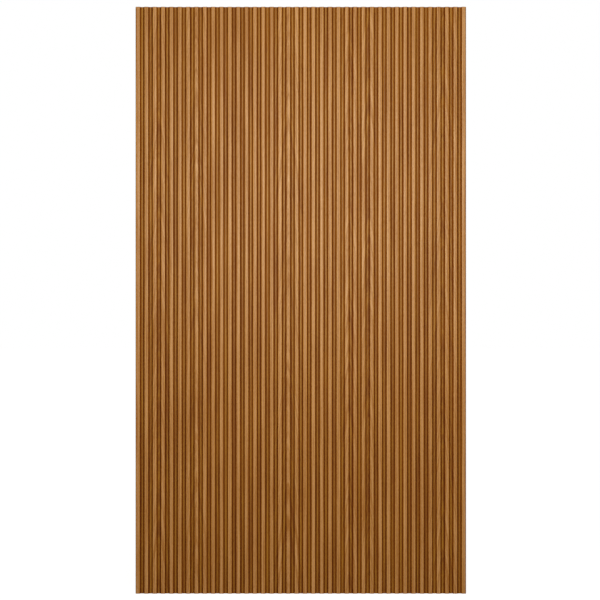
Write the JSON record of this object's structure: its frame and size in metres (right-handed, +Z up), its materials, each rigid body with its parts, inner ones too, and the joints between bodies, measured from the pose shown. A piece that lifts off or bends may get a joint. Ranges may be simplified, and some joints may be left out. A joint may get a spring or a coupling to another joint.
{
  "type": "slat wall panel",
  "caption": "Tall wall panel of evenly spaced upright timber slats with tapered sides and soft shoulders, glued on a plain backing board; fixed flat to a wall as cladding.",
  "frame": {"origin": "centre of the back face, which lies against the wall", "axes": "+Z up along the slats, +X to the right seen from the front, +Y into the wall, front towards -Y"},
  "size_m": [1.3524, 0.0209, 2.4],
  "materials": {
    "slat_timber": "satin stain",
    "board_timber": "satin stain"
  },
  "bodies": {
    "root": {"backing_board": "board_timber", "slat_01": "slat_timber", "slat_02": "slat_timber", "slat_03": "slat_timber", "slat_04": "slat_timber", "slat_05": "slat_timber", "slat_06": "slat_timber", "slat_07": "slat_timber", "slat_08": "slat_timber", "slat_09": "slat_timber", "slat_10": "slat_timber", "slat_11": "slat_timber", "slat_12": "slat_timber", "slat_13": "slat_timber", "slat_14": "slat_timber", "slat_15": "slat_timber", "slat_16": "slat_timber", "slat_17": "slat_timber", "slat_18": "slat_timber", "slat_19": "slat_timber", "slat_20": "slat_timber", "slat_21": "slat_timber", "slat_22": "slat_timber", "slat_23": "slat_timber", "slat_24": "slat_timber", "slat_25": "slat_timber", "slat_26": "slat_timber", "slat_27": "slat_timber", "slat_28": "slat_timber", "slat_29": "slat_timber", "slat_30": "slat_timber", "slat_31": "slat_timber", "slat_32": "slat_timber", "slat_33": "slat_timber", "slat_34": "slat_timber", "slat_35": "slat_timber", "slat_36": "slat_timber", "slat_37": "slat_timber", "slat_38": "slat_timber", "slat_39": "slat_timber", "slat_40": "slat_timber"}
  },
  "joints": []
}
